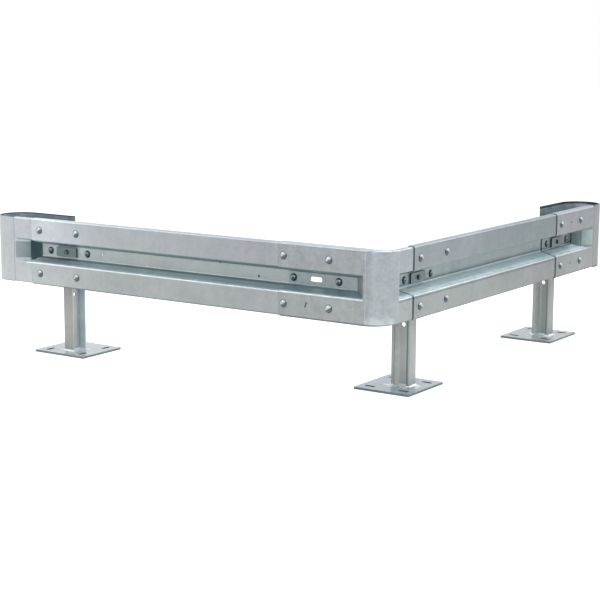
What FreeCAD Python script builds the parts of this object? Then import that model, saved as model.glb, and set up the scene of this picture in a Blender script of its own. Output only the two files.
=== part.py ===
"""Free-standing steel crash barrier: two guard rails meeting at a right angle on three posts.

Local frame used by the builders: u runs along a rail, w runs backwards from the rail's front
face and z runs up. u = 0 and w = 0 is the sharp outer corner where the two front faces meet.
The left rail lies on the negative u side. The right rail is the same layout turned by 90 degrees.
In the finished part the origin lies on the floor under the middle of the corner base plate.
"""
import FreeCAD, Part
import math
import os

Vector = FreeCAD.Vector

# Rail section, in mm.
RAIL_HEIGHT = 310.0
RAIL_DEPTH = 81.0
SHEET = 3.0
FRONT_FACE = 104.0
VALLEY_FLAT = 61.0
FLANGE_DEPTH = 32.0
BEND_INSIDE = 8.0
RAIL_MIDDLE_Z = 480.0
LAP_GAP = 0.2
CLEAR = 60.0
JOIN_TOLERANCE = 0.001

# Layout along each rail, measured from the sharp outer corner.
FIRST_COLUMN = 273.0
POST_SPACING = 1375.0
COLUMN_PITCH = 225.0
EDGE_PAST_COLUMN = 50.0
CORNER_EDGE_PAST_COLUMN = 24.0
ROW_OFFSET = 101.0

# Corner piece and end pieces.
CORNER_BEND = 104.0
POCKET_MOUTH_PAST_BEND = 4.0
POCKET_WALL_RUN = 73.0
BAND_STEPS = 8
NOSE_PAST_COLUMN = 169.0
NOSE_FLAT = 43.0
NOSE_DEPTH = 200.0
END_MOUTH_BEFORE_NOSE = 10.0
FLAP_RUN = 70.0
FLAP_DEPTH = 36.0
WINDOW_LENGTH = 26.0
ARM_PAST_SLOT = 67.5

# Posts and base plates.
POST_WIDTH = 58.0
POST_DEPTH = 90.0
POST_SHEET = 5.0
POST_BEND_INSIDE = 2.0
POST_LIP = 13.0
POST_STEP = 27.0
POST_SLOPE = 12.0
POST_TOP_Z = 586.0
POST_SHIFT = -20.0
POST_HOLE_Z = 273.0
POST_HOLE_D = 18.0
PLATE_ALONG = 300.0
PLATE_ACROSS = 270.0
PLATE_THICK = 10.0
PLATE_ROUND = 4.0
PLATE_BACK_SHIFT = 21.0
PLATE_SLOT_ALONG = 200.0
PLATE_SLOT_ACROSS = 165.0
PLATE_SLOT_LENGTH = 50.0
PLATE_SLOT_WIDTH = 18.0
WELD_LEG = 6.0
WELD_TOP = 0.5

# Fasteners.
BOLT_D = 16.0
BOLT_HOLE_D = 18.0
HEAD_D = 33.0
HEAD_HEIGHT = 9.0
NUT_ACROSS = 24.0
NUT_HEIGHT = 13.0
WASHER_D = 30.0
WASHER_THICK = 3.0
THREAD_PAST_NUT = 4.0
CHAMFER_ANGLE = 30.0
POST_SLOT_LENGTH = 60.0
POST_SLOT_WIDTH = 20.0
COVER_LENGTH = 122.0
COVER_HEIGHT = 45.0
COVER_THICK = 8.0
COVER_ROUND = 6.0
COVER_BOLT_D = 12.0
COVER_HOLE_D = 14.0
COVER_HEAD_ACROSS = 19.0
COVER_HEAD_HEIGHT = 8.0
COVER_NUT_HEIGHT = 10.0
COVER_WASHER_D = 24.0
COVER_WASHER_THICK = 2.5
COVER_SHIFT_LEFT = -10.0
COVER_SHIFT_CORNER = -6.0
COVER_SHIFT_RIGHT = -4.0
SMALL_HOLE_D = 9.0
HANGING_HOLE_U = 1560.0
HANGING_HOLE_RISE = 4.0

# Values that follow from the ones above. Places on an end piece are measured from its first column.
HALF = RAIL_HEIGHT / 2.0
VALLEY_W = RAIL_DEPTH - SHEET
RECESS_HALF = HALF - FRONT_FACE
VALLEY_HALF = VALLEY_FLAT / 2.0
LAP = SHEET + LAP_GAP
SLOT_U = FIRST_COLUMN + COLUMN_PITCH / 2.0
FAR_COLUMN = FIRST_COLUMN + POST_SPACING
FAR_SLOT_U = SLOT_U + POST_SPACING
POCKET_MOUTH_U = CORNER_BEND + POCKET_MOUTH_PAST_BEND
POCKET_FLOOR_U = POCKET_MOUTH_U + POCKET_WALL_RUN
NOSE_START = COLUMN_PITCH + NOSE_PAST_COLUMN
NOSE_CENTRE = NOSE_START + NOSE_FLAT
END_MOUTH = NOSE_START - END_MOUTH_BEFORE_NOSE
FLAP_EDGE = END_MOUTH - FLAP_RUN
END_FLOOR = FLAP_EDGE - WINDOW_LENGTH
ARM_END = COLUMN_PITCH / 2.0 + ARM_PAST_SLOT
OUTSIDE = -LAP
INSIDE = LAP
FACE_EDGE = RECESS_HALF + FRONT_FACE / 2.0
PLATE_CENTRE_W = RAIL_DEPTH + LAP + POST_DEPTH / 2.0 + PLATE_BACK_SHIFT
CORNER_X = PLATE_CENTRE_W
CORNER_Y = -(SLOT_U + POST_SHIFT)


def offset_path(points, distance):
    """Mitred offset of an open 2D path to its right-hand side."""
    lines = []
    for a, b in zip(points[:-1], points[1:]):
        length = math.hypot(b[0] - a[0], b[1] - a[1])
        nx = (b[1] - a[1]) / length * distance
        ny = -(b[0] - a[0]) / length * distance
        lines.append(((a[0] + nx, a[1] + ny), (b[0] + nx, b[1] + ny)))
    result = [lines[0][0]]
    for (p, q), (r, s) in zip(lines[:-1], lines[1:]):
        d1 = (q[0] - p[0], q[1] - p[1])
        d2 = (s[0] - r[0], s[1] - r[1])
        cross = d1[0] * d2[1] - d1[1] * d2[0]
        t = ((r[0] - p[0]) * d2[1] - (r[1] - p[1]) * d2[0]) / cross
        result.append((p[0] + t * d1[0], p[1] + t * d1[1]))
    result.append(lines[-1][1])
    return result


def bend_edges(points, shift, lift, sheet=SHEET, inside=BEND_INSIDE):
    """Edges of a path whose bends are rounded, shifted to its right-hand side by shift.

    A bend that turns towards the right has the small radius on that side, so its radius
    shrinks with the shift. A bend that turns to the left grows with it.
    """
    path = offset_path(points, shift) if shift else list(points)
    edges = []
    start = path[0]
    for before, corner, after in zip(path[:-2], path[1:-1], path[2:]):
        ax, ay = before[0] - corner[0], before[1] - corner[1]
        bx, by = after[0] - corner[0], after[1] - corner[1]
        la, lb = math.hypot(ax, ay), math.hypot(bx, by)
        ax, ay, bx, by = ax / la, ay / la, bx / lb, by / lb
        turns_right = ax * by - ay * bx > 0
        radius = inside + sheet - shift if turns_right else inside + shift
        half = math.acos(max(-1.0, min(1.0, ax * bx + ay * by))) / 2.0
        back = radius / math.tan(half)
        p = (corner[0] + ax * back, corner[1] + ay * back)
        q = (corner[0] + bx * back, corner[1] + by * back)
        mx, my = ax + bx, ay + by
        lm = math.hypot(mx, my)
        reach = radius / math.sin(half) - radius
        m = (corner[0] + mx / lm * reach, corner[1] + my / lm * reach)
        edges.append(Part.makeLine(lift(*start), lift(*p)))
        edges.append(Part.Arc(lift(*p), lift(*m), lift(*q)).toShape())
        start = q
    edges.append(Part.makeLine(lift(*start), lift(*path[-1])))
    return edges, path[0], path[-1]


def bent_sheet(points, shift, lift, sheet=SHEET, inside=BEND_INSIDE):
    """Closed wire of a bent sheet whose front surface follows the path."""
    front, f0, f1 = bend_edges(points, shift, lift, sheet, inside)
    back, b0, b1 = bend_edges(points, shift + sheet, lift, sheet, inside)
    ends = [Part.makeLine(lift(*f0), lift(*b0)), Part.makeLine(lift(*f1), lift(*b1))]
    return Part.Wire(Part.__sortEdges__(front + back + ends))


def region(points, shift, lift, closing):
    """Closed face between a rounded path and a list of closing points."""
    edges, first, last = bend_edges(points, shift, lift)
    chain = [last] + [tuple(c) for c in closing] + [first]
    for a, b in zip(chain[:-1], chain[1:]):
        edges.append(Part.makeLine(lift(*a), lift(*b)))
    return Part.Face(Part.Wire(Part.__sortEdges__(edges)))


def box(u0, u1, w0, w1, z0, z1):
    """Box between two corners, in the local frame."""
    return Part.makeBox(u1 - u0, w1 - w0, z1 - z0, Vector(u0, w0, z0))


def edges_along(body, axis):
    """The straight edges of a body that run along an axis."""
    return [e for e in body.Edges if e.tangentAt(e.FirstParameter).cross(axis).Length < 1e-6]


def section_lift(u):
    """Maps section coordinates (w, height above the rail's middle) to space at a given u."""
    return lambda w, h: Vector(u, w, RAIL_MIDDLE_Z + h)


def plan_lift(z):
    """Maps plan coordinates (u, w) to space at a given height."""
    return lambda u, w: Vector(u, w, z)


def profile_points():
    """Front surface of the whole rail section, from the bottom flange up."""
    return [
        (FLANGE_DEPTH, -HALF), (0.0, -HALF), (0.0, -RECESS_HALF), (VALLEY_W, -VALLEY_HALF),
        (VALLEY_W, VALLEY_HALF), (0.0, RECESS_HALF), (0.0, HALF), (FLANGE_DEPTH, HALF),
    ]


def channel_points(depth):
    """Front surface of the plain channel that the profile turns into near a bend."""
    return [(depth, -HALF), (0.0, -HALF), (0.0, HALF), (depth, HALF)]


def recess_points():
    """Front surface of the recess between the two front faces."""
    return [(0.0, -FACE_EDGE)] + profile_points()[2:6] + [(0.0, FACE_EDGE)]


def drill(u, w, z, diameter):
    """Cylinder that makes a hole through the sheet at a point of a rail."""
    start = Vector(u, w - CLEAR / 2.0, z)
    return Part.makeCylinder(diameter / 2.0, CLEAR, start, Vector(0, 1, 0))


def hole_tools(columns, slot_u, small_rows=()):
    """Everything one joint cuts: six bolt holes, the post slot and the small holes."""
    tools = []
    for u in columns:
        tools.append(drill(u, 0.0, RAIL_MIDDLE_Z + ROW_OFFSET, BOLT_HOLE_D))
        tools.append(drill(u, 0.0, RAIL_MIDDLE_Z - ROW_OFFSET, BOLT_HOLE_D))
        tools.append(drill(u, VALLEY_W, RAIL_MIDDLE_Z, BOLT_HOLE_D))
    reach = (POST_SLOT_LENGTH - POST_SLOT_WIDTH) / 2.0
    slot_half = POST_SLOT_WIDTH / 2.0
    tools.append(box(slot_u - reach, slot_u + reach, VALLEY_W - CLEAR / 2.0,
                     VALLEY_W + CLEAR / 2.0, RAIL_MIDDLE_Z - slot_half,
                     RAIL_MIDDLE_Z + slot_half))
    for side in (-reach, reach):
        tools.append(drill(slot_u + side, VALLEY_W, RAIL_MIDDLE_Z, POST_SLOT_WIDTH))
    for row in small_rows:
        tools.append(drill(slot_u, 0.0, RAIL_MIDDLE_Z + row, SMALL_HOLE_D))
    return tools


def near_joint(small_rows=()):
    """Tools of the joint next to the corner, on the positive side."""
    return hole_tools((FIRST_COLUMN, FIRST_COLUMN + COLUMN_PITCH), SLOT_U, small_rows)


def far_joint():
    """Tools of the joint next to the end, on the positive side."""
    return hole_tools((FAR_COLUMN, FAR_COLUMN + COLUMN_PITCH), FAR_SLOT_U)


def rail(u0, u1):
    """Plain length of guard rail with the holes of both joints."""
    wire = bent_sheet(profile_points(), 0.0, section_lift(u0))
    body = Part.Face(wire).extrude(Vector(u1 - u0, 0, 0))
    return body.cut(near_joint() + far_joint())


def hanging_hole():
    """Small hole in the valley from which one rail hung in the zinc bath."""
    return drill(HANGING_HOLE_U, VALLEY_W, RAIL_MIDDLE_Z + HANGING_HOLE_RISE, SMALL_HOLE_D)


def pocketed_skin(offset, rear, low, high, plan):
    """Filled profile from low to high whose recess ends where the plan closes it."""
    outer = region(channel_points(rear), offset, section_lift(low), ())
    outer = outer.extrude(Vector(high - low, 0, 0))
    front = ((-CLEAR, FACE_EDGE), (-CLEAR, -FACE_EDGE))
    pocket = region(recess_points(), offset, section_lift(low - CLEAR), front)
    pocket = pocket.extrude(Vector(high - low + 2.0 * CLEAR, 0, 0))
    ends = ((plan[-1][0], -2.0 * CLEAR), (plan[0][0], -2.0 * CLEAR))
    limits = region(plan, offset, plan_lift(RAIL_MIDDLE_Z - HALF), ends)
    limits = limits.extrude(Vector(0, 0, RAIL_HEIGHT))
    return outer.cut(pocket.common([limits], JOIN_TOLERANCE))


def pocketed_wing(shift, u0, u1, floor_u, mouth_u, wall=()):
    """Length of profile from u0 to u1 whose recess is closed by a slanted wall.

    The valley floor ends at floor_u and the wall comes back to the front face at mouth_u.
    Points of the plan where the wall changes its slope may lie between the two.
    """
    low, high = min(u0, u1), max(u0, u1)
    past = 2.0 * CLEAR if mouth_u > floor_u else -2.0 * CLEAR
    plan = [(u0 - past, VALLEY_W), (floor_u, VALLEY_W)] + list(wall)
    plan += [(mouth_u, 0.0), (mouth_u + past, 0.0)]
    if past > 0:
        plan = plan[::-1]
    back = RAIL_DEPTH + shift
    solid = pocketed_skin(shift, back, low, high, plan)
    solid = solid.cut(pocketed_skin(shift + SHEET, back + CLEAR, low, high, plan))
    for z0, z1 in ((FACE_EDGE, HALF + CLEAR), (-HALF - CLEAR, -FACE_EDGE)):
        rear = box(low - CLEAR, high + CLEAR, FLANGE_DEPTH, back + CLEAR, RAIL_MIDDLE_Z + z0,
                   RAIL_MIDDLE_Z + z1)
        solid = solid.cut(rear)
    return solid


def corner_piece():
    """Outer corner: two wings and the rounded band between them."""
    edge_u = FIRST_COLUMN + COLUMN_PITCH + CORNER_EDGE_PAST_COLUMN
    left = pocketed_wing(OUTSIDE, edge_u, CORNER_BEND - OUTSIDE, POCKET_FLOOR_U, POCKET_MOUTH_U)
    left = left.cut(near_joint((-ROW_OFFSET,)))
    left = left.mirror(Vector(0, 0, 0), Vector(1, 0, 0))
    inner_end = FIRST_COLUMN + COLUMN_PITCH + EDGE_PAST_COLUMN
    right = pocketed_wing(INSIDE, inner_end, CORNER_BEND - INSIDE, POCKET_FLOOR_U, POCKET_MOUTH_U)
    right = turn(right.cut(near_joint()))
    centre_x = -INSIDE - CORNER_BEND
    centre_y = OUTSIDE + CORNER_BEND
    wires = []
    for i in range(BAND_STEPS + 1):
        part = i / float(BAND_STEPS)
        shift = OUTSIDE + (INSIDE - OUTSIDE) * part
        angle = math.radians(-90.0 + 90.0 * part)

        def lift(w, h, shift=shift, angle=angle):
            r = CORNER_BEND - (w - shift)
            return Vector(centre_x + r * math.cos(angle), centre_y + r * math.sin(angle),
                          RAIL_MIDDLE_Z + h)

        wires.append(bent_sheet(channel_points(FLANGE_DEPTH), shift, lift))
    band = Part.makeLoft(wires, True, False)
    return left.fuse([band, right]).removeSplitter()


def turn(shape):
    """Turns a shape built along u so that it lies along the right rail."""
    turned = shape.copy()
    turned.rotate(Vector(0, 0, 0), Vector(0, 0, 1), 90)
    return turned


def end_piece(shift, small_rows):
    """End piece on the positive side: profiled wing, rounded nose and plain rear arm.

    A flap closes the front of the recess at the nose, and the recess is open behind it.
    It is built from its first column on, and then put at the far joint.
    """
    lap_edge = -EDGE_PAST_COLUMN
    flap = [(FLAP_EDGE, FLAP_DEPTH)]
    wing = pocketed_wing(shift, lap_edge, NOSE_START, END_FLOOR, END_MOUTH, flap)
    window = box(END_FLOOR, FLAP_EDGE + SHEET, FLAP_DEPTH + shift - 2.0 * SHEET,
                 RAIL_DEPTH + shift + SHEET, RAIL_MIDDLE_Z - RECESS_HALF,
                 RAIL_MIDDLE_Z + RECESS_HALF)
    holes = hole_tools((0.0, COLUMN_PITCH), COLUMN_PITCH / 2.0, small_rows)
    wing = wing.cut(holes + [window])
    radius = (NOSE_DEPTH - shift) / 2.0
    z0 = RAIL_MIDDLE_Z - HALF + shift
    z1 = RAIL_MIDDLE_Z + HALF - shift
    strip = strip_face(radius, shift, NOSE_DEPTH)
    strip = strip.cut(strip_face(radius - SHEET, shift + SHEET, NOSE_DEPTH - SHEET))
    strip.translate(Vector(0, 0, z0))
    strip = strip.extrude(Vector(0, 0, z1 - z0))
    front = box(lap_edge, NOSE_START, -CLEAR, NOSE_DEPTH - 2.0 * SHEET, z0, z1)
    arm = box(lap_edge, ARM_END, -CLEAR, NOSE_DEPTH + CLEAR, z0, z1)
    strip = strip.cut([front, arm])
    body = wing.fuse(strip).removeSplitter()
    body.translate(Vector(FAR_COLUMN, 0, 0))
    return body


def strip_face(radius, w0, w1):
    """Flat outline of the nose and the arm, filled between w0 and w1."""
    u0 = ARM_END - CLEAR
    uc = NOSE_CENTRE
    mid = (w0 + w1) / 2.0
    edges = [
        Part.makeLine(Vector(u0, w0, 0), Vector(uc, w0, 0)),
        Part.Arc(Vector(uc, w0, 0), Vector(uc + radius, mid, 0), Vector(uc, w1, 0)).toShape(),
        Part.makeLine(Vector(uc, w1, 0), Vector(u0, w1, 0)),
        Part.makeLine(Vector(u0, w1, 0), Vector(u0, w0, 0)),
    ]
    return Part.Face(Part.Wire(edges))


def post_points(centre_u, front_w):
    """Outer surface of the folded post section, open towards positive u."""
    left = centre_u - POST_WIDTH / 2.0
    right = centre_u + POST_WIDTH / 2.0
    rear = front_w + POST_DEPTH
    web = left + POST_STEP
    return [
        (right, front_w), (left, front_w), (left, front_w + POST_LIP),
        (web, front_w + POST_LIP + POST_SLOPE), (web, rear - POST_LIP - POST_SLOPE),
        (left, rear - POST_LIP), (left, rear), (right, rear),
    ]


def post_body(centre_u, front_w, top_z):
    """Folded post section standing on the base plate, as high as top_z."""
    points = post_points(centre_u, front_w)
    lift = plan_lift(PLATE_THICK)
    wire = bent_sheet(points, 0.0, lift, POST_SHEET, POST_BEND_INSIDE)
    return Part.Face(wire).extrude(Vector(0, 0, top_z - PLATE_THICK))


def post(centre_u, front_w, bolt_u):
    """Post with the hole in its web and the bolt hole in its front flange."""
    body = post_body(centre_u, front_w, POST_TOP_Z)
    start = Vector(centre_u - POST_WIDTH / 2.0, front_w + POST_DEPTH / 2.0, POST_HOLE_Z)
    web = Part.makeCylinder(POST_HOLE_D / 2.0, POST_WIDTH, start, Vector(1, 0, 0))
    return body.cut([web, drill(bolt_u, front_w, RAIL_MIDDLE_Z, COVER_HOLE_D)])


def base_plate(centre_u, centre_w):
    """Base plate with four slots that run across the rail."""
    u0 = centre_u - PLATE_ALONG / 2.0
    w0 = centre_w - PLATE_ACROSS / 2.0
    body = box(u0, u0 + PLATE_ALONG, w0, w0 + PLATE_ACROSS, 0, PLATE_THICK)
    body = body.makeFillet(PLATE_ROUND, edges_along(body, Vector(0, 0, 1)))
    r = PLATE_SLOT_WIDTH / 2.0
    half = PLATE_SLOT_LENGTH / 2.0 - r
    tools = []
    for su in (-1, 1):
        for sw in (-1, 1):
            u = centre_u + su * PLATE_SLOT_ALONG / 2.0
            w = centre_w + sw * PLATE_SLOT_ACROSS / 2.0
            tools.append(box(u - r, u + r, w - half, w + half, 0, PLATE_THICK))
            tools.append(Part.makeCylinder(r, PLATE_THICK, Vector(u, w - half, 0)))
            tools.append(Part.makeCylinder(r, PLATE_THICK, Vector(u, w + half, 0)))
    return body.cut(tools)


def weld_strip(a, b):
    """Ridge of weld along one straight run of the fold, wide at the plate."""
    length = math.hypot(b[0] - a[0], b[1] - a[1])
    du, dw = (b[0] - a[0]) / length, (b[1] - a[1]) / length
    past = POST_SHEET / 2.0
    foot = POST_SHEET / 2.0 + WELD_LEG
    top = POST_SHEET / 2.0 + WELD_TOP
    outline = [(-foot, 0.0), (foot, 0.0), (top, WELD_LEG), (-top, WELD_LEG), (-foot, 0.0)]
    start = (a[0] - du * past, a[1] - dw * past)
    corners = [Vector(start[0] - dw * side, start[1] + du * side, PLATE_THICK + rise)
               for side, rise in outline]
    run = length + 2.0 * past
    return Part.Face(Part.makePolygon(corners)).extrude(Vector(du * run, dw * run, 0))


def weld(centre_u, front_w):
    """Fillet weld all round the foot of a post."""
    middle = offset_path(post_points(centre_u, front_w), POST_SHEET / 2.0)
    strips = [weld_strip(a, b) for a, b in zip(middle[:-1], middle[1:])]
    ridge = strips[0].fuse(strips[1:]).removeSplitter()
    return ridge.cut(post_body(centre_u, front_w, 2.0 * PLATE_THICK))


def hexagon(across, height, u, w, z, outer_end):
    """Hexagonal prism along w. The corners of its front or rear end are turned off."""
    corner = across / math.sqrt(3.0)
    points = []
    for i in range(7):
        angle = math.radians(60.0 * i)
        points.append(Vector(u + corner * math.cos(angle), w, z + corner * math.sin(angle)))
    prism = Part.Face(Part.makePolygon(points)).extrude(Vector(0, height, 0))
    small = across / 2.0
    large = small + height / math.tan(math.radians(CHAMFER_ANGLE))
    front, rear = (small, large) if outer_end == "front" else (large, small)
    return prism.common(Part.makeCone(front, rear, height, Vector(u, w, z), Vector(0, 1, 0)))


def domed_bolt(u, w, z, grip):
    """Round-headed bolt: the head lies in front of w, the shank goes through the grip."""
    cap = (HEAD_D ** 2 / 4.0 + HEAD_HEIGHT ** 2) / (2.0 * HEAD_HEIGHT)
    ball = Part.makeSphere(cap, Vector(u, w + cap - HEAD_HEIGHT, z))
    head = ball.common(Part.makeCylinder(HEAD_D / 2.0, HEAD_HEIGHT, Vector(u, w - HEAD_HEIGHT, z),
                                         Vector(0, 1, 0)))
    length = grip + WASHER_THICK + NUT_HEIGHT + THREAD_PAST_NUT
    shank = Part.makeCylinder(BOLT_D / 2.0, length, Vector(u, w, z), Vector(0, 1, 0))
    return head.fuse(shank).removeSplitter()


def nut(u, w, z, across, height, bore):
    """Hexagon nut whose front face lies at w."""
    body = hexagon(across, height, u, w, z, "rear")
    return body.cut(Part.makeCylinder(bore / 2.0, height, Vector(u, w, z), Vector(0, 1, 0)))


def washer(u, w, z, outer, bore, thick):
    """Flat washer whose front face lies at w."""
    axis = Vector(0, 1, 0)
    body = Part.makeCylinder(outer / 2.0, thick, Vector(u, w, z), axis)
    return body.cut(Part.makeCylinder(bore / 2.0, thick, Vector(u, w, z), axis))


def joint_fasteners(columns, outer_shift, inner_shift):
    """The six bolts, washers and nuts of one joint, each list as one group."""
    bolts, washers, nuts = [], [], []
    for u in columns:
        for row, w in ((ROW_OFFSET, 0.0), (-ROW_OFFSET, 0.0), (0.0, VALLEY_W)):
            z = RAIL_MIDDLE_Z + row
            front = w + outer_shift
            back = w + inner_shift + SHEET
            bolts.append(domed_bolt(u, front, z, back - front))
            washers.append(washer(u, back, z, WASHER_D, BOLT_D, WASHER_THICK))
            nuts.append(nut(u, back + WASHER_THICK, z, NUT_ACROSS, NUT_HEIGHT, BOLT_D))
    return [Part.makeCompound(group) for group in (bolts, washers, nuts)]


def cover_plate(u, w):
    """Rounded plate that covers the post slot, with its front face turned to the road."""
    half = COVER_LENGTH / 2.0
    body = box(u - half, u + half, w - COVER_THICK, w, RAIL_MIDDLE_Z - COVER_HEIGHT / 2.0,
               RAIL_MIDDLE_Z + COVER_HEIGHT / 2.0)
    body = body.makeFillet(COVER_ROUND, edges_along(body, Vector(0, 1, 0)))
    return body.cut(drill(u, w, RAIL_MIDDLE_Z, COVER_HOLE_D))


def cover_fasteners(u, w, post_w):
    """Hexagon bolt through the cover plate, the slot and the post, with washer and nut."""
    z = RAIL_MIDDLE_Z
    front = w - COVER_THICK
    behind = post_w + POST_SHEET
    head = hexagon(COVER_HEAD_ACROSS, COVER_HEAD_HEIGHT, u, front - COVER_HEAD_HEIGHT, z, "front")
    nut_w = behind + COVER_WASHER_THICK
    length = nut_w + COVER_NUT_HEIGHT + THREAD_PAST_NUT - front
    shank = Part.makeCylinder(COVER_BOLT_D / 2.0, length, Vector(u, front, z), Vector(0, 1, 0))
    ring = washer(u, behind, z, COVER_WASHER_D, COVER_BOLT_D, COVER_WASHER_THICK)
    hexnut = nut(u, nut_w, z, COVER_HEAD_ACROSS, COVER_NUT_HEIGHT, COVER_BOLT_D)
    return head.fuse(shank).removeSplitter(), ring, hexnut


def mirrored(shape):
    """Mirror image on the negative u side."""
    return shape.mirror(Vector(0, 0, 0), Vector(1, 0, 0))


def build():
    """All pieces, each under its own name, in the finished frame."""
    pieces = {}
    rail_start = FIRST_COLUMN - EDGE_PAST_COLUMN
    rail_end = FAR_COLUMN + COLUMN_PITCH + EDGE_PAST_COLUMN
    pieces["rail_left"] = mirrored(rail(rail_start, rail_end).cut(hanging_hole()))
    pieces["rail_right"] = turn(rail(rail_start, rail_end))
    pieces["corner_piece"] = corner_piece()
    pieces["end_piece_left"] = mirrored(end_piece(INSIDE, ()))
    pieces["end_piece_right"] = turn(end_piece(OUTSIDE, (ROW_OFFSET, -ROW_OFFSET)))

    near = (FIRST_COLUMN, FIRST_COLUMN + COLUMN_PITCH)
    far = (FAR_COLUMN, FAR_COLUMN + COLUMN_PITCH)
    joints = {
        "left_end": (tuple(-u for u in far), 0.0, INSIDE, False),
        "corner_left": (tuple(-u for u in near), OUTSIDE, 0.0, False),
        "corner_right": (near, 0.0, INSIDE, True),
        "right_end": (far, OUTSIDE, 0.0, True),
    }
    for name, (columns, outer, inner, turned) in joints.items():
        groups = joint_fasteners(columns, outer, inner)
        for kind, group in zip(("bolts", "washers", "nuts"), groups):
            pieces[kind + "_" + name] = turn(group) if turned else group

    posts = {
        "left": (-FAR_SLOT_U, COVER_SHIFT_LEFT, VALLEY_W, RAIL_DEPTH + INSIDE, False),
        "corner": (SLOT_U, COVER_SHIFT_CORNER, VALLEY_W, RAIL_DEPTH + INSIDE, True),
        "right": (FAR_SLOT_U, COVER_SHIFT_RIGHT, VALLEY_W + OUTSIDE, RAIL_DEPTH, True),
    }
    for name, (slot_u, bolt_shift, valley_w, post_w, turned) in posts.items():
        centre_u = slot_u + POST_SHIFT
        bolt_u = slot_u + bolt_shift
        centre_w = post_w + POST_DEPTH / 2.0 + PLATE_BACK_SHIFT
        bolt, ring, hexnut = cover_fasteners(bolt_u, valley_w, post_w)
        group = {
            "post_" + name: post(centre_u, post_w, bolt_u),
            "base_plate_" + name: base_plate(centre_u, centre_w),
            "weld_" + name: weld(centre_u, post_w),
            "cover_plate_" + name: cover_plate(bolt_u, valley_w),
            "cover_bolt_" + name: bolt,
            "cover_washer_" + name: ring,
            "cover_nut_" + name: hexnut,
        }
        for key, shape in group.items():
            pieces[key] = turn(shape) if turned else shape

    for shape in pieces.values():
        shape.translate(Vector(CORNER_X, CORNER_Y, 0))
    return pieces


os.makedirs("parts", exist_ok=True)
for node, solid in build().items():
    solid.exportStep("parts/" + node + ".step")
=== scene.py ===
"""Looks of the steel crash barrier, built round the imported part."""
import math

import bpy
from mathutils import Matrix, Vector

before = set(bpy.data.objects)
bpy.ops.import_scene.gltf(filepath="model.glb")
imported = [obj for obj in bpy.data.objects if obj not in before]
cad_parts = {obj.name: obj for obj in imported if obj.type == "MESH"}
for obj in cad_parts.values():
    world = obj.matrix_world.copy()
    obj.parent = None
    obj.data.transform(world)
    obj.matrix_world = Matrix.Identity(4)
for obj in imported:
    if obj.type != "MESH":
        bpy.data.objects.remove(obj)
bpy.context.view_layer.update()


# Camera, as worked out from the photograph.
PHOTO_WIDTH = 600
FOCAL_PX = 1564.2
SENSOR_MM = 36.0
CAMERA_AT = Vector((3.2876, -5.6725, 1.5105))
CAMERA_YAW = 0.590
CAMERA_PITCH = 0.172
CAMERA_ROLL = 0.005

# Floor, world and lamps. A lamp has a name, a place, a target, a size in metres and a power.
FLOOR_HALF = 30.0
FLOOR_Z = -0.0005
FLOOR_GLOW = 0.72
WORLD_LIGHT = 0.45
LAMPS = (("lamp_top", (1.2, 0.4, 5.0), (-0.5, 0.4, 0.3), 3.5, 102.0),
         ("lamp_left", (-3.8, -2.8, 4.2), (-0.8, -0.3, 0.4), 2.5, 66.0),
         ("lamp_right", (2.0, 4.9, 3.2), (0.1, 0.6, 0.4), 2.5, 56.0),
         ("lamp_front", (2.0, -6.0, 2.6), (-0.4, 0.2, 0.4), 3.0, 84.0))

# Places on the barrier in metres, as in the part. Each rail has its own frame: u runs along it
# from the sharp outer corner of the two front faces, w runs back from its front face, and levels
# are heights above the rail's middle.
CORNER_X = 0.1502
CORNER_Y = -0.3655
MIDDLE_Z = 0.480
RAIL_HALF = 0.155
BOLT_COLUMNS = (0.273, 0.498, 1.648, 1.873)
BOLT_ROW = 0.101
HEAD_RADIUS = 0.0165
LOWER_EDGE_Z = (0.328, 0.334)
FACE_END_W = (0.010, 0.030)
FRONT_SHEET_END_W = (0.086, 0.092)

# The valley: its floor, the ledge below, the lip in front of the ledge, and the fold between
# floor and ledge. The photograph shows the fold on the ledge at the left, on the floor at the
# right, and there the lip is wider and dark underneath.
VALLEY_U = (0.106, 1.962)
VALLEY_W = (0.066, 0.086)
VALLEY_LEVEL = (-0.034, 0.034)
LEDGE_W = (0.014, 0.080)
LEDGE_LEVEL = (-0.052, -0.032)
LIP_W = (0.001, 0.014)
LIP_LEVEL = (-0.056, -0.046)
WIDER_LIP = 0.01
UNDER_LIP_W = (0.0, 0.004)
UNDER_LIP_LEVEL = (-0.0645, -0.0575)
LEFT_FOLD_W = (0.062, 0.072)
LEFT_GLEAM_LEVEL = (-0.0275, -0.0255)
RIGHT_SHADE_LEVEL = (-0.024, -0.020, 0.0)
RIGHT_FOLD_LEVEL = (-0.0225, -0.0185)
RIGHT_BEND_LEVEL = (-0.0300, -0.0265)
RIGHT_BEND_W = (0.052, 0.074)
DARK_LEDGE_U = (1.68, 1.80)

# The corner band's ends and creases, and the lap of the corner piece's right wing.
BAND_END = (0.098, 0.104)
LEFT_CREASE_U = (0.0985, 0.1005)
RIGHT_CREASE_U = (0.1025, 0.1055)
RIGHT_WING_START = (0.104, 0.108)
RIGHT_LAP_U = (0.214, 0.2235)

# An end piece: the window and the flap in its pocket, the seam before its nose, its rear arm.
POCKET_LEVEL = (-0.036, 0.036)
WINDOW_U = (1.930, 1.958)
FLAP_U = (1.963, 2.028)
FLAP_SHADE_U = (1.955, 2.025)
FLAP_EDGE_U = (1.958, 1.963)
NOSE_SEAM_U = (2.0350, 2.0375)
ARM_W = (0.100, 0.1985)
BEHIND_WINDOW_LEVEL = (0.05, 0.09)
TOP_RIM = (0.0090, 0.0070)

# Centre and half size of each base plate, and how far its painted shadow on the floor is set in.
PLATES = (((0.0, 0.0), (0.135, 0.150)),
          ((-1.6303, -0.2153), (0.150, 0.135)),
          ((0.0032, 1.375), (0.135, 0.150)))
PLATE_INSET = 0.004


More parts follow.
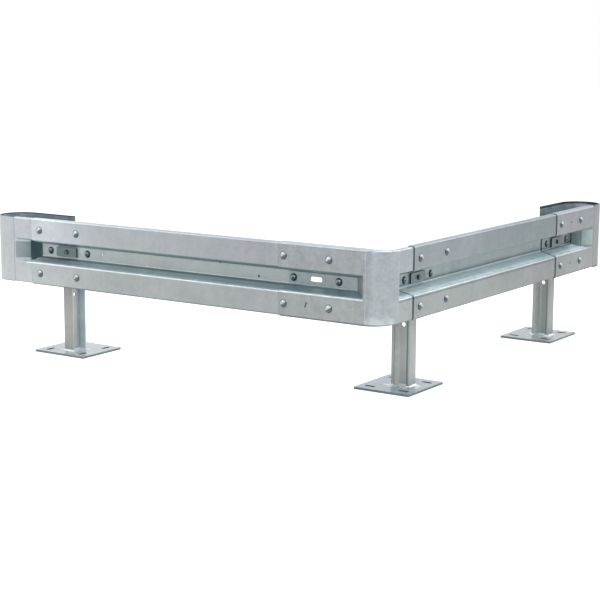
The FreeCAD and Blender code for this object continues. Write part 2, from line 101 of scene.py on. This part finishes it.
def grey(level, tint=(1.0, 1.0, 1.0)):
    """Colour of a given level with a slight tint."""
    return (level * tint[0], level * tint[1], level * tint[2], 1.0)


# White, and the tints that multiply the zinc's own colour.
WHITE = (1.0, 1.0, 1.0, 1.0)
SHADE = (0.50, 0.64, 0.66, 1.0)
# DARK: painted shade in the gaps beside the laps.
DARK = (0.22, 0.30, 0.31, 1.0)
SPOT = (0.12, 0.15, 0.15, 1.0)
# Painted shade on a rail's undersides.
UNDER_RAIL = (0.62, 0.74, 0.76, 1.0)
LOWER_EDGE = (0.50, 0.54, 0.53, 1.0)
# Painted shade in a post's groove behind its front lip.
GROOVE = (0.30, 0.36, 0.37, 1.0)
# Mild painted shade on a post's web and lip.
MILD_SHADE = (0.68, 0.75, 0.75, 1.0)
CREASE = (1.35, 1.35, 1.38, 1.0)
# Valley tints: painted highlights on the lip and bends, painted shade under the lip and on the
# right floor.
LIP = (1.30, 1.36, 1.38, 1.0)
UNDER_LIP = (0.66, 0.69, 0.70, 1.0)
LEFT_GLEAM = (1.3, 1.32, 1.34, 1.0)
RIGHT_SHADE = (0.70, 0.76, 0.77, 1.0)
RIGHT_BEND = (1.50, 1.60, 1.65, 1.0)
RIGHT_LEDGE_BEND = (1.24, 1.20, 1.20, 1.0)
DARK_LEDGE = (0.66, 0.62, 0.61, 1.0)
NOSE_SEAM = (0.55, 0.60, 0.62, 1.0)
FLAP_SHADE = (0.62, 0.68, 0.70, 1.0)
WINDOW = (0.08, 0.16, 0.17, 1.0)
RIM = (0.14, 0.20, 0.20, 1.0)
# Lit and shaded tones of each side's valley floor and ledge, and painted shade in the fold.
VALLEY_FLOOR = {"left": (1.14, 1.16, 1.15, 1.0), "right": (0.94, 1.02, 1.02, 1.0)}
LEDGE = {"left": (0.95, 1.06, 1.08, 1.0), "right": (2.00, 2.18, 2.26, 1.0)}
FOLD = {"left": (0.40, 0.48, 0.49, 1.0), "right": (0.50, 0.57, 0.60, 1.0)}

# Small dark marks: place along the left rail, height and radius.
RAIL_MARKS = ((1.560, 0.484, 0.008), (0.885, 0.510, 0.006), (0.680, 0.467, 0.007))
CORNER_MARKS = ((0.3828, 0.3920, 0.0045), (0.3852, 0.3865, 0.0045),
                (0.3876, 0.3810, 0.0045), (0.3900, 0.3755, 0.0035))

# Bands of a post: w where each starts and ends, and its tint. The tints are painted light and
# painted shade across the post's section.
POST_BANDS = {
    "left": ((0.1490, 0.1570, (1.28, 1.82, 2.00, 1.0)),
             (0.1430, 0.1470, (0.60, 0.68, 0.70, 1.0)),
             (0.1590, 0.1740, (1.50, 1.65, 1.70, 1.0)),
             (0.0870, 0.0950, (1.12, 1.26, 1.32, 1.0))),
    "corner": ((0.1500, 0.1570, grey(1.6)),
               (0.1190, 0.1450, grey(0.84)),
               (0.1050, 0.1150, grey(0.78)),
               (0.0905, 0.0990, GROOVE),
               (0.0860, 0.0890, MILD_SHADE),
               (0.1600, 0.1740, grey(0.75))),
    "right": ((0.1480, 0.1570, grey(1.75)),
              (0.1050, 0.1300, MILD_SHADE),
              (0.0905, 0.0990, GROOVE),
              (0.0860, 0.0890, MILD_SHADE),
              (0.1600, 0.1740, grey(0.95))),
}


def add_camera():
    """Camera with the place, direction and field of view of the photograph."""
    data = bpy.data.cameras.new("camera")
    data.sensor_width = SENSOR_MM
    data.lens = FOCAL_PX / PHOTO_WIDTH * SENSOR_MM
    data.clip_start = 0.1
    data.clip_end = 100.0
    camera = bpy.data.objects.new("camera", data)
    bpy.context.scene.collection.objects.link(camera)
    sin_yaw, cos_yaw = math.sin(CAMERA_YAW), math.cos(CAMERA_YAW)
    sin_pitch, cos_pitch = math.sin(CAMERA_PITCH), math.cos(CAMERA_PITCH)
    ahead = Vector((-sin_yaw * cos_pitch, cos_yaw * cos_pitch, -sin_pitch))
    right = Vector((cos_yaw, sin_yaw, 0.0))
    up = right.cross(ahead)
    turned_right = right * math.cos(CAMERA_ROLL) + up * math.sin(CAMERA_ROLL)
    turned_up = up * math.cos(CAMERA_ROLL) - right * math.sin(CAMERA_ROLL)
    matrix = Matrix((turned_right, turned_up, -ahead)).transposed().to_4x4()
    matrix.translation = CAMERA_AT
    camera.matrix_world = matrix
    bpy.context.scene.camera = camera


class Graph:
    """Small helper that adds nodes to a material's tree."""

    def __init__(self, name):
        self.material = bpy.data.materials.new(name)
        self.material.use_nodes = True
        self.tree = self.material.node_tree
        self.shader = self.tree.nodes["Principled BSDF"]

    def node(self, kind, **values):
        made = self.tree.nodes.new(kind)
        for key, value in values.items():
            setattr(made, key, value)
        return made

    def link(self, source, target):
        self.tree.links.new(source, target)

    def put(self, value, target):
        """Sets a socket from a number, a colour or another node's output."""
        if isinstance(value, bpy.types.NodeSocket):
            self.link(value, target)
        else:
            target.default_value = value

    def math(self, operation, a, b=0.0, clamp=False):
        made = self.node("ShaderNodeMath", operation=operation, use_clamp=clamp)
        self.put(a, made.inputs[0])
        self.put(b, made.inputs[1])
        return made.outputs[0]

    def product(self, first, *others):
        for other in others:
            first = self.math("MULTIPLY", first, other)
        return first

    def inverse(self, factor):
        return self.math("SUBTRACT", 1.0, factor)

    def minus(self, value):
        return self.math("SUBTRACT", 0.0, value)

    def length(self, a, b):
        """Length of the line that goes a one way and b the other."""
        squares = self.math("ADD", self.math("POWER", a, 2.0), self.math("POWER", b, 2.0))
        return self.math("SQRT", squares)

    def away(self, a, b, place):
        """Distance between the point (a, b) and a fixed place."""
        return self.length(self.math("SUBTRACT", a, place[0]),
                           self.math("SUBTRACT", b, place[1]))

    def noise(self, vector, scale, detail=3.0, roughness=0.55):
        made = self.node("ShaderNodeTexNoise")
        self.link(vector, made.inputs["Vector"])
        made.inputs["Scale"].default_value = scale
        made.inputs["Detail"].default_value = detail
        made.inputs["Roughness"].default_value = roughness
        return made.outputs["Fac"]

    def crystals(self, vector, scale):
        """Random tone of each spangle crystal."""
        made = self.node("ShaderNodeTexVoronoi", feature="F1")
        self.link(vector, made.inputs["Vector"])
        made.inputs["Scale"].default_value = scale
        made.inputs["Randomness"].default_value = 1.0
        split = self.node("ShaderNodeSeparateColor")
        self.link(made.outputs["Color"], split.inputs[0])
        return split.outputs[0]

    def ramp(self, factor, stops):
        made = self.node("ShaderNodeValToRGB")
        elements = made.color_ramp.elements
        while len(elements) < len(stops):
            elements.new(0.5)
        for element, (place, colour) in zip(elements, stops):
            element.position = place
            element.color = colour
        self.link(factor, made.inputs[0])
        return made.outputs[0]

    def spread(self, factor, low, high):
        """Maps 0..1 to low..high."""
        made = self.node("ShaderNodeMapRange")
        self.link(factor, made.inputs["Value"])
        made.inputs["To Min"].default_value = low
        made.inputs["To Max"].default_value = high
        return made.outputs[0]

    def mix(self, factor, a, b, blend="MIX"):
        made = self.node("ShaderNodeMix", data_type="RGBA", blend_type=blend)
        self.put(factor, made.inputs[0])
        self.put(a, made.inputs[6])
        self.put(b, made.inputs[7])
        return made.outputs[2]

    def step(self, value, low, high):
        """Smooth change from 0 at low to 1 at high."""
        made = self.node("ShaderNodeMapRange", interpolation_type="SMOOTHSTEP")
        self.link(value, made.inputs["Value"])
        made.inputs["From Min"].default_value = low
        made.inputs["From Max"].default_value = high
        return made.outputs[0]

    def fall(self, value, low, high):
        """Smooth change from 1 at low to 0 at high."""
        return self.inverse(self.step(value, low, high))

    def band(self, value, low, high, soft):
        """1 between low and high, fading to 0 over the soft distance."""
        middle, half = (low + high) / 2.0, (high - low) / 2.0
        away = self.math("ABSOLUTE", self.math("SUBTRACT", value, middle))
        return self.fall(away, half, half + soft)

    def split(self, vector):
        made = self.node("ShaderNodeSeparateXYZ")
        self.link(vector, made.inputs[0])
        return made.outputs

    def place(self):
        """Place in the world: the meshes are in world coordinates."""
        return self.node("ShaderNodeTexCoord").outputs["Object"]

    def frame(self, side):
        """Place along the rail, place behind its front face and height."""
        x, y, z = self.split(self.place())
        from_x = self.math("SUBTRACT", CORNER_X, x)
        from_y = self.math("SUBTRACT", y, CORNER_Y)
        return (from_x, from_y, z) if side == "left" else (from_y, from_x, z)

    def from_bolts(self, u, z):
        """Distance from the axis of the nearest bolt of a joint."""
        nearest = None
        for column in BOLT_COLUMNS:
            away = self.math("ABSOLUTE", self.math("SUBTRACT", u, column))
            nearest = away if nearest is None else self.math("MINIMUM", nearest, away)
        rise = self.math("ABSOLUTE", self.math("SUBTRACT", z, MIDDLE_Z))
        to_row = self.math("ABSOLUTE", self.math("SUBTRACT", rise, BOLT_ROW))
        return self.length(nearest, self.math("MINIMUM", rise, to_row))


class Zinc:
    """Hot-dip galvanised steel: cloudy tone, spangle crystals, runs and a fine dull grain."""

    CLOUD_SCALE, CLOUD_SHARE = 5.0, 0.9
    PATCH_SCALE, PATCH_SHARE = 22.0, 0.35
    LARGE_SHARE, FINE_SHARE = 0.6, 0.4
    FINE_RATIO = 2.6
    RUN_SCALE, RUN_STRETCH = 45.0, 0.08
    HUE_SCALE = 2.6
    GRAIN_SCALE = 900.0
    TONE_GAIN = 1.2
    BUMP_DEPTH = 0.002

    # Slow changes of hue over the surface, and from the rail's lower to its upper edge.
    HUES = ((0.36, (1.015, 0.99, 1.02, 1.0)), (0.5, (0.985, 1.0, 0.995, 1.0)),
            (0.64, (1.0, 1.0, 0.98, 1.0)))
    HEIGHT_HUES = ((0.0, (1.0, 1.0, 0.99, 1.0)), (0.5, WHITE), (1.0, (0.995, 0.99, 1.035, 1.0)))

    def __init__(self, name, dark, light, seed, tint=(0.93, 1.0, 1.01), spangle=55.0,
                 contrast=0.35, streak=0.22, side="left"):
        g = self.graph = Graph(name)
        self.u, self.w, self.z = g.frame(side)
        self.normal = g.split(g.node("ShaderNodeNewGeometry").outputs["Normal"])
        x, y, _ = self.normal
        self.rearward = y if side == "left" else g.minus(x)
        self.cornerward = x if side == "left" else g.minus(y)

        moved = g.node("ShaderNodeVectorMath", operation="ADD")
        g.link(g.place(), moved.inputs[0])
        moved.inputs[1].default_value = (seed, seed * 0.7, seed * 0.3)
        self.moved = moved.outputs[0]
        self.clouds = g.noise(self.moved, self.CLOUD_SCALE, 4.0, 0.6)
        self.patches = g.noise(self.moved, self.PATCH_SCALE, 3.0, 0.5)
        self.crystals = g.crystals(self.moved, spangle)
        fine = g.crystals(self.moved, spangle * self.FINE_RATIO)
        stretched = g.node("ShaderNodeMapping")
        g.link(self.moved, stretched.inputs["Vector"])
        stretched.inputs["Scale"].default_value = (1.0, 1.0, self.RUN_STRETCH)
        runs = g.noise(stretched.outputs[0], self.RUN_SCALE, 3.0, 0.6)

        parts = ((self.crystals, self.LARGE_SHARE * contrast), (fine, self.FINE_SHARE * contrast),
                 (self.clouds, self.CLOUD_SHARE), (self.patches, self.PATCH_SHARE), (runs, streak))
        tone = None
        for value, share in parts:
            scaled = g.product(g.math("SUBTRACT", value, 0.5), self.TONE_GAIN * share)
            tone = scaled if tone is None else g.math("ADD", tone, scaled)
        tone = g.math("ADD", tone, 0.5, clamp=True)
        colour = g.ramp(tone, ((0.0, grey(dark, tint)), (1.0, grey(light, tint))))
        hue = g.ramp(g.noise(self.moved, self.HUE_SCALE, 2.0, 0.5), self.HUES)
        colour = g.mix(1.0, colour, hue, "MULTIPLY")
        height = g.step(self.z, MIDDLE_Z - RAIL_HALF, MIDDLE_Z + RAIL_HALF)
        self.colour = g.mix(1.0, colour, g.ramp(height, self.HEIGHT_HUES), "MULTIPLY")

    def tint(self, colour, *factors):
        """Multiplies the colour by a tint where the product of the factors is 1."""
        g = self.graph
        tinted = g.mix(1.0, self.colour, colour, "MULTIPLY")
        self.colour = g.mix(g.product(*factors), self.colour, tinted)

    def level(self, low, high, soft):
        """1 between two levels, fading to 0 over the soft distance."""
        return self.graph.band(self.z, MIDDLE_Z + low, MIDDLE_Z + high, soft)

    def undersides(self, colour=SHADE):
        # Painted shade on faces that point downwards.
        self.tint(colour, self.graph.fall(self.normal[2], -0.75, -0.1))

    def edges(self, top, under=SHADE):
        """Painted shade on undersides, painted light on upper faces, and a darker lower edge of a
        rail.
        """
        g = self.graph
        self.undersides(under)
        self.tint(grey(top, (0.97, 1.0, 1.02)), g.step(self.normal[2], 0.25, 0.9))
        self.tint(LOWER_EDGE, g.fall(self.z, *LOWER_EDGE_Z))

    def recess(self, side, floor, ledge):
        """Painted light and shade of the valley, the ledge and the lip, with the fold painted as
        shade where that side shows it.
        """
        g = self.graph
        u, w, _ = g.frame(side)
        wider = 0.0 if side == "left" else WIDER_LIP
        pocket = g.band(u, *VALLEY_U, 0.003)
        deep = g.product(g.band(w, *VALLEY_W, 0.010), pocket)
        self.tint(floor, deep, self.level(*VALLEY_LEVEL, 0.004))
        low = g.product(self.level(*LEDGE_LEVEL, 0.002), pocket)
        self.tint(ledge, g.band(w, *LEDGE_W, 0.010), low)
        lip = g.product(g.band(w, LIP_W[0], LIP_W[1] + wider, 0.006),
                        self.level(LIP_LEVEL[0], LIP_LEVEL[1] + 0.5 * wider, 0.003))
        self.tint(LIP, lip, pocket)
        if side == "left":
            self.tint(FOLD[side], g.band(w, *LEFT_FOLD_W, 0.008), low)
            self.tint(LEFT_GLEAM, deep, self.level(*LEFT_GLEAM_LEVEL, 0.002))
        else:
            bottom, darkest, top = (MIDDLE_Z + level for level in RIGHT_SHADE_LEVEL)
            shaded = g.product(g.fall(self.z, darkest, top), g.step(self.z, bottom, darkest))
            self.tint(RIGHT_SHADE, deep, shaded)
            self.tint(FOLD[side], deep, self.level(*RIGHT_FOLD_LEVEL, 0.003))
            self.tint(RIGHT_BEND, deep, self.level(*RIGHT_BEND_LEVEL, 0.002))
            self.tint(RIGHT_LEDGE_BEND, g.band(w, *RIGHT_BEND_W, 0.008), low)
            under = g.product(self.level(*UNDER_LIP_LEVEL, 0.002), g.band(w, *UNDER_LIP_W, 0.002))
            self.tint(UNDER_LIP, under, pocket)

    def spots(self, marks):
        """Small dark marks: place along the rail, height and radius of each."""
        g = self.graph
        for u, z, radius in marks:
            self.tint(SPOT, g.fall(g.away(self.u, self.z, (u, z)), 0.6 * radius, radius))

    def line(self, low, high, colour=DARK):
        """Upright line across the front sheet, such as the painted shade in the gap beside a lap.
        """
        g = self.graph
        self.tint(colour, g.band(self.u, low, high, 0.001), g.fall(self.w, *FRONT_SHEET_END_W))

    def bolt_rings(self, side):
        """Painted shade in a ring round the head of each joint bolt."""
        g = self.graph
        u, _, z = g.frame(side)
        self.tint(SHADE, g.band(g.from_bolts(u, z), 0.0, HEAD_RADIUS + 0.0005, 0.0025))

    def finish(self, metallic=0.55, rough=(0.34, 0.52), bump=0.05):
        """Sets the shader's other sockets and returns the material."""
        g = self.graph
        g.link(self.colour, g.shader.inputs["Base Color"])
        g.shader.inputs["Metallic"].default_value = metallic
        g.link(g.spread(self.crystals, *rough), g.shader.inputs["Roughness"])
        grain = g.noise(self.moved, self.GRAIN_SCALE, 2.0, 0.5)
        height = g.math("ADD", g.product(self.crystals, 0.5), self.patches)
        height = g.math("ADD", height, g.product(grain, 0.25))
        made = g.node("ShaderNodeBump")
        made.inputs["Strength"].default_value = bump
        made.inputs["Distance"].default_value = self.BUMP_DEPTH
        g.link(height, made.inputs["Height"])
        g.link(made.outputs[0], g.shader.inputs["Normal"])
        return g.material


def rail_zinc(side, dark, light, seed, far, lap, upper, lower, marks=()):
    """Rail: tone of its far end, painted shade beside one lap, and changes of its two front faces.

    Each change has the places along the rail where it starts and ends, and a tint.
    """
    z = Zinc("zinc_rail_" + side, dark, light, seed, side=side)
    g = z.graph
    z.spots(marks)
    z.tint(grey(far), g.step(z.u, 0.4, 2.0))
    face = g.fall(z.w, *FACE_END_W)
    above = g.product(face, g.step(z.z, MIDDLE_Z - 0.01, MIDDLE_Z + 0.01))
    for part, changes in ((above, upper), (g.math("SUBTRACT", face, above), lower)):
        for start, end, colour in changes:
            z.tint(colour, part, g.step(z.u, start, end))
    z.recess(side, VALLEY_FLOOR[side], LEDGE[side])
    if side == "left":
        ledge = g.product(z.level(*LEDGE_LEVEL, 0.002), g.band(z.w, *LEDGE_W, 0.010))
        z.tint(DARK_LEDGE, ledge, g.step(z.u, *DARK_LEDGE_U))
    z.bolt_rings(side)
    z.line(*lap)
    z.edges(1.35, UNDER_RAIL)
    return z.finish()


def end_zinc(side, dark, light, seed, laps, flap, arm, hollow):
    """End piece, with tints of painted light and shade for the flap in its pocket, the inside of
    its rear arm, and the part of that inside which is seen through the pocket's window."""
    z = Zinc("zinc_end_" + side, dark, light, seed, spangle=45.0, contrast=0.45, side=side)
    g = z.graph
    z.recess(side, VALLEY_FLOOR[side], LEDGE[side])
    z.bolt_rings(side)
    for low, high in laps:
        z.line(low, high)
    z.line(*NOSE_SEAM_U, NOSE_SEAM)
    within = z.level(*POCKET_LEVEL, 0.004)
    z.tint(flap, g.band(z.u, *FLAP_U, 0.004), within)
    z.tint(FLAP_SHADE, g.fall(z.u, *FLAP_SHADE_U), within, g.step(z.u, *FLAP_EDGE_U))
    # Painted shade: the dark inside seen through the pocket's window.
    z.tint(WINDOW, g.band(z.u, *WINDOW_U, 0.002), within)
    z.edges(1.35)
    inside = g.product(g.band(z.w, *ARM_W, 0.001), g.fall(z.rearward, -0.3, 0.2))
    z.tint(arm, inside)
    window_top, above_window = (MIDDLE_Z + level for level in BEHIND_WINDOW_LEVEL)
    z.tint(hollow, inside, g.fall(z.z, window_top, above_window))
    # Painted shade along the top rim behind the front face.
    rim_start, rim_end = (MIDDLE_Z + RAIL_HALF - below for below in TOP_RIM)
    z.tint(RIM, g.step(z.w, 0.03, 0.05), g.step(z.z, rim_start, rim_end))
    return z.finish()


def corner_zinc():
    """Corner piece: the light band with its two creases, and a wing with a recess each side."""
    z = Zinc("zinc_corner", 0.26, 0.42, 7.0, spangle=46.0, contrast=0.45)
    g = z.graph
    right_u, right_w, _ = g.frame("right")
    band = g.product(g.fall(z.u, *BAND_END), g.fall(right_u, *BAND_END))
    z.tint((1.20, 1.23, 1.29, 1.0), band)
    z.tint(grey(0.84), g.step(z.u, 0.02, 0.09), band)
    low = g.fall(z.z, MIDDLE_Z - 0.02, MIDDLE_Z + 0.10)
    z.tint(grey(1.28), g.step(z.clouds, 0.50, 0.62), low, band)
    z.recess("left", (0.88, 0.96, 0.98, 1.0), (0.66, 0.82, 0.86, 1.0))
    z.recess("right", (0.80, 0.92, 0.95, 1.0), LEDGE["right"])
    z.spots(CORNER_MARKS)
    right_wing = g.product(g.step(right_u, *RIGHT_WING_START), g.fall(right_w, *FACE_END_W))
    z.tint((1.14, 1.16, 1.20, 1.0), right_wing)
    z.bolt_rings("left")
    z.bolt_rings("right")
    # Painted shade in the gap at the lap of the right wing.
    z.tint(DARK, g.band(right_u, *RIGHT_LAP_U, 0.001))
    z.tint(CREASE, g.band(z.u, *LEFT_CREASE_U, 0.001))
    z.tint(CREASE, g.band(right_u, *RIGHT_CREASE_U, 0.001))
    z.edges(1.6, UNDER_RAIL)
    return z.finish(rough=(0.30, 0.5))


def bolt_zinc(side):
    """Bright zinc on the dome's upper side, with painted shade on its lower side, at its rim and
    in the valley.
    """
    z = Zinc("zinc_bolt_" + side, 0.50, 0.72, 24.0, side=side)
    g = z.graph
    away = g.from_bolts(z.u, z.z)
    down = g.math("SUBTRACT", g.product(z.cornerward, 0.55), g.product(z.normal[2], 0.85))
    z.tint((0.16, 0.21, 0.22, 1.0), g.step(down, -0.10, 0.16))
    z.tint((0.30, 0.38, 0.39, 1.0), g.step(away, 0.0135, 0.0155))
    ring = g.band(away, 0.0070, 0.0095, 0.0015)
    z.tint((0.18, 0.26, 0.27, 1.0), z.level(-0.025, 0.025, 0.004), g.inverse(ring))
    return z.finish(metallic=0.4, rough=(0.22, 0.34))


def post_zinc(name, side, dark, light, seed, tint, front):
    """Post with painted light and shade on the faces towards -Y, in bands from front to rear, and
    as the rail's shadow near the top; darker towards the foot.
    """
    z = Zinc("zinc_post_" + name, dark, light, seed, tint, contrast=0.25, streak=0.5, side=side)
    g = z.graph
    for low, high, colour in POST_BANDS[name]:
        z.tint(colour, g.band(z.w, low, high, 0.0015))
    # Painted light and shade on the faces towards -Y, a darker foot, then the rail's painted
    # shadow near the top.
    z.tint(grey(front), g.step(g.minus(z.normal[1]), 0.3, 0.8))
    z.tint((0.85, 0.92, 0.95, 1.0), g.fall(z.z, 0.012, 0.035))
    z.tint((0.90, 0.94, 0.94, 1.0), g.step(z.z, 0.25, 0.34))
    return z.finish(metallic=0.3, rough=(0.38, 0.55))


def plate_zinc(name, dark, light, seed, tint, foot):
    """Plate with a white puddle of zinc round the post's foot and painted shade on its side faces.
    """
    z = Zinc("zinc_plate_" + name, dark, light, seed, tint, spangle=40.0, contrast=0.5)
    g = z.graph
    x, y, _ = g.split(g.place())
    uneven = g.product(g.math("SUBTRACT", z.patches, 0.5), 0.16)
    puddle = g.fall(g.math("ADD", g.away(x, y, foot), uneven), 0.055, 0.068)
    z.colour = g.mix(puddle, z.colour, (0.86, 0.90, 0.93, 1.0))
    z.tint((0.27, 0.32, 0.32, 1.0), g.fall(z.normal[2], 0.2, 0.8))
    return z.finish(metallic=0.4, rough=(0.24, 0.42), bump=0.08)


def cover_zinc(name, side, dark, light):
    """Dark zinc in the valley, with painted shade on all but the front faces."""
    z = Zinc(name + side, dark, light, 33.0, (0.74, 0.98, 1.0), contrast=0.25, side=side)
    g = z.graph
    z.tint((0.30, 0.36, 0.37, 1.0), g.fall(g.minus(z.rearward), 0.5, 0.9))
    return z.finish(metallic=0.45)


def small_zinc(name, dark, light, seed, metallic=0.6, bump=0.05):
    """Zinc of a weld, nut or washer, with painted shade underneath."""
    z = Zinc(name, dark, light, seed)
    z.undersides()
    return z.finish(metallic=metallic, rough=(0.28, 0.42), bump=bump)


def make_looks():
    """Materials, each under the start of the names of the pieces that have it."""
    sides = ("left", "right")
    covers = {side: cover_zinc("zinc_cover_", side, 0.17, 0.27) for side in sides}
    bolts = {side: bolt_zinc(side) for side in sides}
    heads = {side: cover_zinc("zinc_cover_bolt_", side, 0.10, 0.18) for side in sides}
    return {
        "rail_left": rail_zinc(
            "left", 0.30, 0.43, 1.0, far=1.22, lap=(0.5215, 0.5245),
            upper=((1.52, 1.84, grey(1.42)),),
            lower=((0.60, 1.40, grey(0.94)), (1.60, 1.90, grey(1.20))), marks=RAIL_MARKS),
        "rail_right": rail_zinc(
            "right", 0.275, 0.41, 4.0, far=0.86, lap=(1.5890, 1.5985),
            upper=((0.0, 0.1, (0.89, 0.94, 0.95, 1.0)), (0.25, 1.30, (0.78, 0.83, 0.83, 1.0))),
            lower=((0.30, 1.60, grey(0.87)),)),
        "corner_piece": corner_zinc(),
        "end_piece_left": end_zinc(
            "left", 0.45, 0.61, 9.0, laps=((1.9225, 1.9265),), flap=(0.54, 0.61, 0.62, 1.0),
            arm=(0.52, 0.66, 0.68, 1.0), hollow=(0.42, 0.59, 0.60, 1.0)),
        "end_piece_right": end_zinc(
            "right", 0.235, 0.35, 12.0, laps=(), flap=(1.30, 1.52, 1.46, 1.0),
            arm=(1.25, 1.48, 1.54, 1.0), hollow=WHITE),
        "post_left": post_zinc("left", "left", 0.42, 0.56, 15.0, (1.0, 1.0, 0.985), 0.80),
        "post_corner": post_zinc("corner", "right", 0.40, 0.55, 16.5, (0.96, 1.0, 0.99), 1.10),
        "post_right": post_zinc("right", "right", 0.33, 0.46, 18.0, (0.94, 1.0, 0.99), 1.05),
        "base_plate_left": plate_zinc("left", 0.56, 0.78, 18.0, (0.89, 0.98, 1.03),
                                      (-1.630, -0.235)),
        "base_plate_corner": plate_zinc("corner", 0.46, 0.68, 19.5, (0.77, 0.91, 1.0),
                                        (0.020, 0.0)),
        "base_plate_right": plate_zinc("right", 0.44, 0.66, 21.0, (0.89, 0.99, 1.02),
                                       (0.023, 1.375)),
        "weld": small_zinc("zinc_weld", 0.6, 0.85, 21.0, metallic=0.4, bump=0.3),
        "bolts_left_end": bolts["left"],
        "bolts_corner_left": bolts["left"],
        "bolts_corner_right": bolts["right"],
        "bolts_right_end": bolts["right"],
        "washers": small_zinc("zinc_washer", 0.36, 0.55, 27.0),
        "nuts": small_zinc("zinc_nut", 0.34, 0.52, 30.0),
        "cover_plate_left": covers["left"],
        "cover_plate": covers["right"],
        "cover_bolt_left": heads["left"],
        "cover_bolt": heads["right"],
        "cover_washer": small_zinc("zinc_cover_washer", 0.35, 0.5, 39.0),
        "cover_nut": small_zinc("zinc_cover_nut", 0.35, 0.5, 42.0),
    }


def dress():
    """Gives each CAD node the material under the longest start of its name."""
    looks = make_looks()
    for name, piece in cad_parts.items():
        key = max((k for k in looks if name.startswith(k)), key=len)
        piece.data.materials.clear()
        piece.data.materials.append(looks[key])


def floor_material():
    """White floor that keeps the shadows, with a painted shadow under each plate, where no light
    gets.
    """
    g = Graph("floor_white")
    x, y, _ = g.split(g.place())
    shadowed = None
    for (px, py), (hx, hy) in PLATES:
        hx, hy = hx - PLATE_INSET, hy - PLATE_INSET
        inside = g.product(g.band(x, px - hx, px + hx, 0.003), g.band(y, py - hy, py + hy, 0.003))
        shadowed = inside if shadowed is None else g.math("MAXIMUM", shadowed, inside)
    # Painted shadow under the plates: dark colour and no glow.
    colour = g.mix(shadowed, (0.8, 0.8, 0.8, 1.0), (0.05, 0.06, 0.06, 1.0))
    g.link(colour, g.shader.inputs["Base Color"])
    g.shader.inputs["Roughness"].default_value = 0.9
    path = g.node("ShaderNodeLightPath")
    seen = g.math("MAXIMUM", path.outputs["Is Camera Ray"], path.outputs["Is Glossy Ray"])
    seen = g.math("MAXIMUM", seen, path.outputs["Is Transmission Ray"])
    g.shader.inputs["Emission Color"].default_value = WHITE
    glow = g.product(seen, g.inverse(shadowed), FLOOR_GLOW)
    g.link(glow, g.shader.inputs["Emission Strength"])
    return g.material


def add_floor():
    """Pale floor under the barrier."""
    mesh = bpy.data.meshes.new("floor")
    half = FLOOR_HALF
    corners = [(-half, -half, 0.0), (half, -half, 0.0), (half, half, 0.0), (-half, half, 0.0)]
    mesh.from_pydata(corners, [], [(0, 1, 2, 3)])
    floor = bpy.data.objects.new("floor", mesh)
    bpy.context.scene.collection.objects.link(floor)
    floor.location = (0.0, 0.0, FLOOR_Z)
    mesh.materials.append(floor_material())


def add_world():
    """World that is white to the camera and in reflections, and lights the barrier with less."""
    world = bpy.data.worlds.new("world")
    bpy.context.scene.world = world
    world.use_nodes = True
    tree = world.node_tree
    background = tree.nodes["Background"]
    path = tree.nodes.new("ShaderNodeLightPath")
    seen = path.outputs["Is Camera Ray"]
    for kind in ("Is Glossy Ray", "Is Transmission Ray"):
        either = tree.nodes.new("ShaderNodeMath")
        either.operation = "MAXIMUM"
        tree.links.new(seen, either.inputs[0])
        tree.links.new(path.outputs[kind], either.inputs[1])
        seen = either.outputs[0]
    strength = tree.nodes.new("ShaderNodeMapRange")
    tree.links.new(seen, strength.inputs["Value"])
    strength.inputs["To Min"].default_value = WORLD_LIGHT
    strength.inputs["To Max"].default_value = 1.0
    tree.links.new(strength.outputs[0], background.inputs["Strength"])
    background.inputs["Color"].default_value = WHITE


def add_lamp(name, place, target, size, power):
    """Soft square lamp that looks at a point."""
    data = bpy.data.lights.new(name, "AREA")
    data.shape = "SQUARE"
    data.size = size
    data.energy = power
    lamp = bpy.data.objects.new(name, data)
    bpy.context.scene.collection.objects.link(lamp)
    lamp.location = place
    lamp.rotation_mode = "QUATERNION"
    lamp.rotation_quaternion = (Vector(target) - Vector(place)).to_track_quat("-Z", "Y")


add_camera()
dress()
add_floor()
add_world()
for lamp in LAMPS:
    add_lamp(*lamp)
bpy.context.scene.view_settings.view_transform = "Standard"
